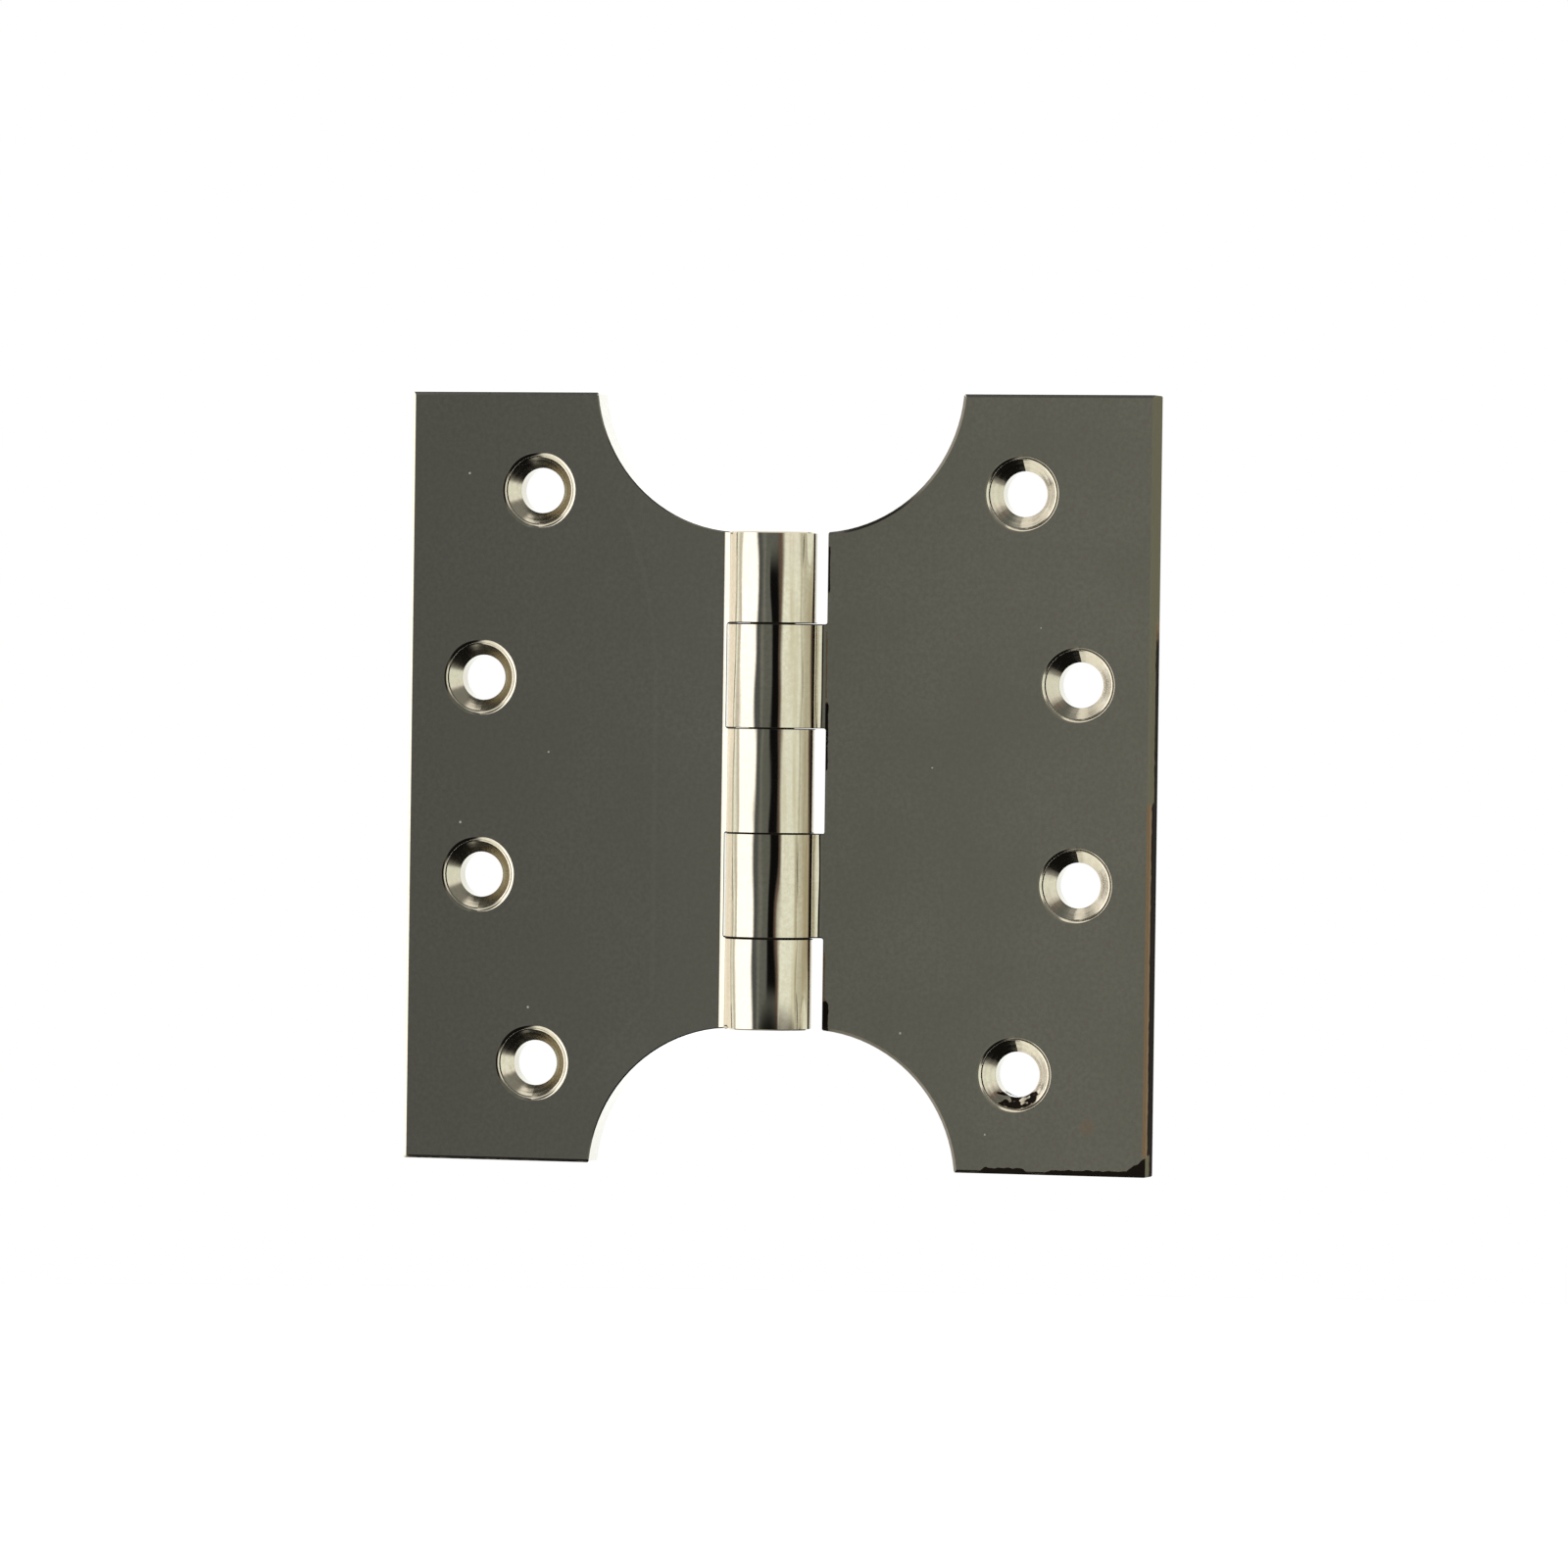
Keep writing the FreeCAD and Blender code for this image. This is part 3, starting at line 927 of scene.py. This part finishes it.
def nickel_leaf(name, finish, is_door):
    material, bench, shader = new_material(name)
    leaf = LeafMap(bench, finish, is_door)

    # Plating with painted shade on its front edges, and countersinks
    colour = bench.blend(painted_edge_shade(leaf), plating(leaf), tuple(finish.edge))
    turned = bench.value(
        "MULTIPLY_ADD", leaf.rings, SINK_ROUGHNESS_SPREAD, finish.turned - SINK_ROUGHNESS_DROP,
    )
    roughness = bench.mix(leaf.in_sink, leaf.buffing["Roughness"], turned)

    # Inside the screw holes and the knuckle joints
    colour = bench.blend(leaf.in_bore, colour, tuple(finish.bore))
    in_bore = bench.value("MULTIPLY", leaf.in_bore, BORE_DULLING)
    roughness = bench.mix(in_bore, roughness, BORE_ROUGHNESS)
    joint = in_joint(leaf)
    colour = bench.blend(joint, colour, tuple(finish.oil))
    roughness = bench.mix(joint, roughness, JOINT_ROUGHNESS)
    dull = joint

    # The door leaf's free side and rust spot
    if is_door:
        side = bench.product(
            bench.ramp_up(leaf.facing[0], *SIDE_FACES), bench.ramp_up(leaf.x, *SIDE_FROM),
        )
        on_bevel = bench.ramp_down(leaf.facing[0], *SIDE_FLAT_FACES)
        bare = bench.blend(on_bevel, tuple(finish.bare_side), tuple(finish.bevel))
        colour = bench.blend(side, colour, bare)
        rust = bench.product(bench.spot(leaf.place, *RUST_SPOT), leaf.front, RUST_AMOUNT)
        colour = bench.blend(rust, colour, tuple(finish.rust))
        dull = bench.most(dull, side)

    # Oxide, with the painted shadow along the door leaf's foot
    reach, crust = door_oxide_and_shadow(leaf, side) if is_door else frame_oxide(leaf)
    oxide_and_shadow = bench.group(
        shared("Tarnish_and_shadow", oxide_and_shadow_group),
        Place=leaf.place, Reach=reach, Crust=crust, Patch_Size=OXIDE_PATCH,
        Film_Colour=opaque(finish.film), Crust_Colour=opaque(finish.crust),
    )
    colour = bench.blend(oxide_and_shadow["Mask"], colour, oxide_and_shadow["Color"])
    roughness = bench.mix(oxide_and_shadow["Mask"], roughness, OXIDE_ROUGHNESS)
    if is_door:
        roughness = bench.mix(side, roughness, SIDE_ROUGHNESS)

    # Dust
    dust = bench.group(shared("Specks", specks_group), Place=leaf.place, **LEAF_SPECKS)
    grains = DOOR_GRAINS if is_door else FRAME_GRAINS
    grain = bench.most(dust["Mask"], *[bench.spot(leaf.place, *where) for where in grains])
    grain = bench.product(grain, leaf.front, GRAIN_AMOUNT)
    colour = bench.blend(grain, colour, tuple(finish.dust))
    roughness = bench.mix(grain, roughness, GRAIN_ROUGHNESS)
    marks = bench.value("MULTIPLY", bench.most(grain, oxide_and_shadow["Mask"]), MARK_DULLING)

    bench.feed(shader.inputs["Base Color"], colour)
    bench.feed(shader.inputs["Metallic"], bench.inverse(bench.most(dull, marks)))
    shader.inputs["Specular IOR Level"].default_value = 0.1
    bench.feed(shader.inputs["Roughness"], roughness)
    set_relief(bench, shader, leaf_relief(leaf))
    return material


def ground_pin(name, finish):
    material, bench, shader = new_material(name)
    coordinates = bench.put("ShaderNodeTexCoord").outputs
    place = bench.scaled(coordinates["Object"], MM_PER_METRE)
    z = bench.split(place)[2]
    buffing = bench.group(
        shared("Buffing", buffing_group), Place=place, Polish=finish.grind, **PIN_BUFFING,
    )
    dust = bench.group(shared("Specks", specks_group), Place=place, **PIN_SPECKS)
    along = bench.ramp_down(bench.value("ABSOLUTE", z), *PIN_ENDS)
    at_end = bench.value("MULTIPLY_ADD", buffing["Cloud"], *PIN_END_OIL)
    colour = bench.blend(bench.most(along, at_end), tuple(finish.steel), tuple(finish.oil))
    colour = bench.blend(dust["Mask"], colour, tuple(finish.oil))
    bench.feed(shader.inputs["Base Color"], colour)
    shader.inputs["Metallic"].default_value = 1.0
    bench.feed(shader.inputs["Roughness"], buffing["Roughness"])
    set_relief(bench, shader, bench.value("MULTIPLY", buffing["Height"], PIN_LINE_DEPTH))
    return material


def wear(node, material):
    """Puts a material on a CAD node, in place of the one it came with."""
    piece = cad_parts[node]
    piece.data.materials.clear()
    piece.data.materials.append(material)


class HINGE_OT_finish_leaves(bpy.types.Operator):
    """Plate and buff the frame leaf and the door leaf"""

    bl_idname = "hinge.finish_leaves"
    bl_label = "Finish Leaves"

    def execute(self, context):
        finish = context.scene.hinge_leaf_finish
        wear("frame_leaf", nickel_leaf("Buffed nickel frame leaf", finish, False))
        wear("door_leaf", nickel_leaf("Buffed nickel door leaf", finish, True))
        return {"FINISHED"}


class HINGE_OT_finish_pin(bpy.types.Operator):
    """Grind and oil the hinge pin"""

    bl_idname = "hinge.finish_pin"
    bl_label = "Finish Pin"

    def execute(self, context):
        wear("hinge_pin", ground_pin("Ground steel pin", context.scene.hinge_pin_finish))
        return {"FINISHED"}


def card_stops(values):
    """Ramp stops that step from one card's value to the next with a soft edge."""
    starts = [card[0] for card in STUDIO_CARDS]
    stops = [(0.0, values[0])]
    for start, before, after in zip(starts[1:], values, values[1:]):
        stops.append(((start - CARD_EDGE_SOFTNESS + 180.0) / 360.0, before))
        stops.append(((start + CARD_EDGE_SOFTNESS + 180.0) / 360.0, after))
    stops.append((1.0, values[-1]))
    return stops


def patched(bench, direction, ground, patches):
    """A ground brightness with round patches of other brightness in given directions."""
    colour = ground
    for bearing, elevation, half_angle, patch in patches:
        nearness = bench.vector("DOT_PRODUCT", direction, heading(bearing, elevation))
        inner, outer = (math.cos(math.radians(half_angle * share)) for share in PATCH_FADE)
        colour = bench.blend(bench.ramp_up(nearness, outer, inner), colour, patch)
    return colour


def studio_world():
    """A white backdrop for the camera, and cards, ceiling and underside for the metal to show."""
    world = bpy.data.worlds.new("Studio")
    world.use_nodes = True
    tree = world.node_tree
    tree.nodes.clear()
    bench = Bench(tree)
    direction = bench.put("ShaderNodeTexCoord").outputs["Generated"]
    x, y, z = bench.split(direction)
    bearing = bench.value("ARCTAN2", x, bench.value("MULTIPLY", y, -1.0))
    turn = bench.value("MULTIPLY_ADD", bearing, 1.0 / (2.0 * math.pi), 0.5)
    cards = bench.ramp(turn, card_stops([card[2] for card in STUDIO_CARDS]), "LINEAR")
    tops = [(math.sin(math.radians(card[1])),) * 3 for card in STUDIO_CARDS]
    top = bench.ramp(turn, card_stops(tops), "LINEAR")
    *gap_ends, gap_height, gap_colour = DARK_GAP
    in_gap = bench.band(bearing, *map(math.radians, (*gap_ends, CARD_EDGE_SOFTNESS)))
    gap_top = math.sin(math.radians(gap_height))
    off_level = bench.ramp_up(bench.value("ABSOLUTE", z), gap_top, gap_top + CARD_TOP_SOFTNESS)
    cards = bench.blend(bench.product(in_gap, bench.inverse(off_level)), cards, gap_colour)
    past_top = bench.value("ADD", top, CARD_TOP_SOFTNESS)
    up = bench.ramp_up(z, top, past_top)
    down = bench.ramp_up(bench.value("MULTIPLY", z, -1.0), top, past_top)
    colour = bench.blend(up, cards, patched(bench, direction, CEILING, CEILING_PATCHES))
    colour = bench.blend(down, colour, patched(bench, direction, UNDERSIDE, UNDERSIDE_PATCHES))
    colour = patched(bench, direction, colour, LOW_FLAG)
    studio = bench.put("ShaderNodeBackground")
    bench.feed(studio.inputs["Color"], colour)
    backdrop = bench.put("ShaderNodeBackground")
    backdrop.inputs["Color"].default_value = WHITE
    choose = bench.put("ShaderNodeMixShader")
    bench.feed(choose.inputs[0], bench.put("ShaderNodeLightPath").outputs["Is Camera Ray"])
    tree.links.new(studio.outputs[0], choose.inputs[1])
    tree.links.new(backdrop.outputs[0], choose.inputs[2])
    tree.links.new(choose.outputs[0], bench.put("ShaderNodeOutputWorld").inputs["Surface"])
    return world


def studio_floor(stage):
    mesh = bpy.data.meshes.new("Studio floor")
    shape = bmesh.new()
    bmesh.ops.create_circle(
        shape, cap_ends=True, segments=128, radius=stage.floor_radius,
        matrix=Matrix.Translation((0.0, 0.0, -stage.floor_drop)),
    )
    shape.to_mesh(mesh)
    shape.free()
    floor = bpy.data.objects.new("Studio_floor", mesh)
    bpy.context.scene.collection.objects.link(floor)
    floor.visible_glossy = False

    material, bench, shader = new_material("Pale floor")
    shader.inputs["Base Color"].default_value = opaque(stage.floor_colour)
    shader.inputs["Roughness"].default_value = 0.9
    seen = bench.put("ShaderNodeLightPath").outputs["Is Camera Ray"]
    shader.inputs["Emission Color"].default_value = WHITE
    bench.feed(shader.inputs["Emission Strength"], bench.value("MULTIPLY", seen, stage.floor_lift))
    mesh.materials.append(material)


def studio_lamp(stage):
    lamp = bpy.data.lights.new("Soft lamp", "AREA")
    lamp.shape = "SQUARE"
    lamp.size = stage.lamp_size
    lamp.energy = stage.lamp_power
    holder = bpy.data.objects.new("Soft_lamp", lamp)
    holder.location = (0.0, 0.0, stage.lamp_height)
    holder.visible_glossy = False
    bpy.context.scene.collection.objects.link(holder)


def studio_camera(stage):
    back = Vector(heading(math.degrees(stage.bearing), math.degrees(stage.elevation)))
    level_right = Vector((math.cos(stage.bearing), math.sin(stage.bearing), 0.0))
    level_up = back.cross(level_right)
    turn = (math.cos(stage.roll), math.sin(stage.roll))
    right = level_right * turn[0] + level_up * turn[1]
    up = level_up * turn[0] - level_right * turn[1]
    eye = back * stage.distance + right * stage.aside - up * stage.lowered

    data = bpy.data.cameras.new("Studio camera")
    data.sensor_width = 36.0
    data.lens = data.sensor_width * stage.distance / stage.view_width
    data.clip_start = 0.05
    camera = bpy.data.objects.new("Studio_camera", data)
    bpy.context.scene.collection.objects.link(camera)
    facing = Matrix((right, up, back)).transposed().to_4x4()
    camera.matrix_world = Matrix.Translation(eye) @ facing
    bpy.context.scene.camera = camera


class HINGE_OT_set_stage(bpy.types.Operator):
    """Set up the pale floor, the soft lamp, the studio cards and the camera"""

    bl_idname = "hinge.set_stage"
    bl_label = "Set Stage"

    def execute(self, context):
        stage = context.scene.hinge_stage
        context.scene.view_settings.view_transform = "Standard"
        context.scene.world = studio_world()
        studio_floor(stage)
        studio_lamp(stage)
        studio_camera(stage)
        return {"FINISHED"}


STEPS = (
    ("hinge.finish_leaves", "hinge_leaf_finish", LeafFinish),
    ("hinge.finish_pin", "hinge_pin_finish", PinFinish),
    ("hinge.set_stage", "hinge_stage", StudioStage),
)


class HINGE_PT_sidebar(bpy.types.Panel):
    """Finishes and stage of the parliament hinge"""

    bl_label = "Parliament Hinge"
    bl_idname = "HINGE_PT_sidebar"
    bl_space_type = "VIEW_3D"
    bl_region_type = "UI"
    bl_category = "Hinge"

    def draw(self, context):
        for operator, settings, group in STEPS:
            self.layout.operator(operator)
            for name in group.__annotations__:
                self.layout.prop(getattr(context.scene, settings), name)


CLASSES = (
    LeafFinish,
    PinFinish,
    StudioStage,
    HINGE_OT_finish_leaves,
    HINGE_OT_finish_pin,
    HINGE_OT_set_stage,
    HINGE_PT_sidebar,
)


def register():
    for item in CLASSES:
        bpy.utils.register_class(item)
    for _, settings, group in STEPS:
        setattr(bpy.types.Scene, settings, PointerProperty(type=group))


def unregister():
    for _, settings, _ in STEPS:
        delattr(bpy.types.Scene, settings)
    for item in reversed(CLASSES):
        bpy.utils.unregister_class(item)


def main():
    register()
    bpy.ops.hinge.finish_leaves()
    bpy.ops.hinge.finish_pin()
    bpy.ops.hinge.set_stage()


if __name__ == "__main__":
    main()
